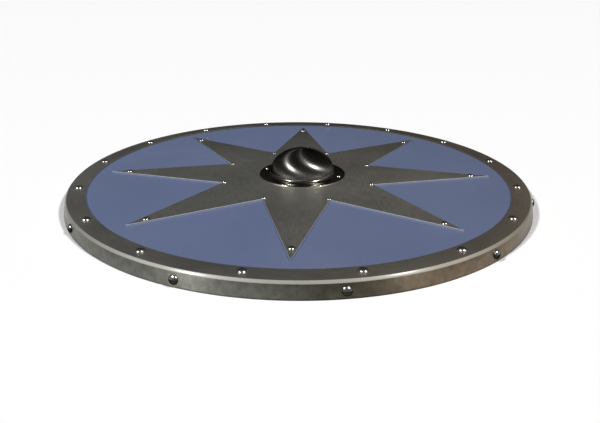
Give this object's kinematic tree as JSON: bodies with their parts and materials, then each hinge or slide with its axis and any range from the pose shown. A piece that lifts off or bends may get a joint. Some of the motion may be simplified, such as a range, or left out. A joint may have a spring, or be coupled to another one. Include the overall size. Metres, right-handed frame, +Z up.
{
  "type": "wooden round shield",
  "caption": "Round wooden shield with a steel edge, a pointed steel star and a domed boss riveted to its blue painted face, and leather straps on its back, lying face up.",
  "frame": {"origin": "centre of the steel edge's underside, on the surface that the shield lies on", "axes": "+Z up out of the painted face, -Y towards the star point nearest the picture's camera, +X to its right"},
  "size_m": [0.6115, 0.61, 0.0545],
  "materials": {
    "painted_wood": "matt blue paint on the face, bare wood behind",
    "dark_steel": "ground in one direction and slightly darkened",
    "polished_steel": "polished",
    "strap_leather": "plain brown, smooth side out"
  },
  "bodies": {
    "root": {"board": "painted_wood", "rim": "dark_steel", "star": "dark_steel", "boss": "polished_steel", "arm_strap": "strap_leather", "hand_strap": "strap_leather", "rim_rivet_01": "polished_steel", "rim_rivet_02": "polished_steel", "rim_rivet_03": "polished_steel", "rim_rivet_04": "polished_steel", "rim_rivet_05": "polished_steel", "rim_rivet_06": "polished_steel", "rim_rivet_07": "polished_steel", "rim_rivet_08": "polished_steel", "rim_rivet_09": "polished_steel", "rim_rivet_10": "polished_steel", "rim_rivet_11": "polished_steel", "rim_rivet_12": "polished_steel", "rim_rivet_13": "polished_steel", "rim_rivet_14": "polished_steel", "rim_rivet_15": "polished_steel", "rim_rivet_16": "polished_steel", "side_rivet_01": "polished_steel", "side_rivet_02": "polished_steel", "side_rivet_03": "polished_steel", "side_rivet_04": "polished_steel", "side_rivet_05": "polished_steel", "side_rivet_06": "polished_steel", "side_rivet_07": "polished_steel", "side_rivet_08": "polished_steel", "side_rivet_09": "polished_steel", "side_rivet_10": "polished_steel", "side_rivet_11": "polished_steel", "point_rivet_01": "polished_steel", "point_rivet_02": "polished_steel", "point_rivet_03": "polished_steel", "point_rivet_04": "polished_steel", "point_rivet_05": "polished_steel", "point_rivet_06": "polished_steel", "point_rivet_07": "polished_steel", "point_rivet_08": "polished_steel", "corner_rivet_01": "polished_steel", "corner_rivet_02": "polished_steel", "corner_rivet_03": "polished_steel", "corner_rivet_04": "polished_steel", "corner_rivet_05": "polished_steel", "corner_rivet_06": "polished_steel", "corner_rivet_07": "polished_steel", "corner_rivet_08": "polished_steel", "boss_rivet_01": "polished_steel", "boss_rivet_02": "polished_steel", "boss_rivet_03": "polished_steel", "boss_rivet_04": "polished_steel", "arm_strap_rivet_01": "polished_steel", "arm_strap_rivet_02": "polished_steel", "hand_strap_rivet_01": "polished_steel", "hand_strap_rivet_02": "polished_steel"}
  },
  "joints": []
}
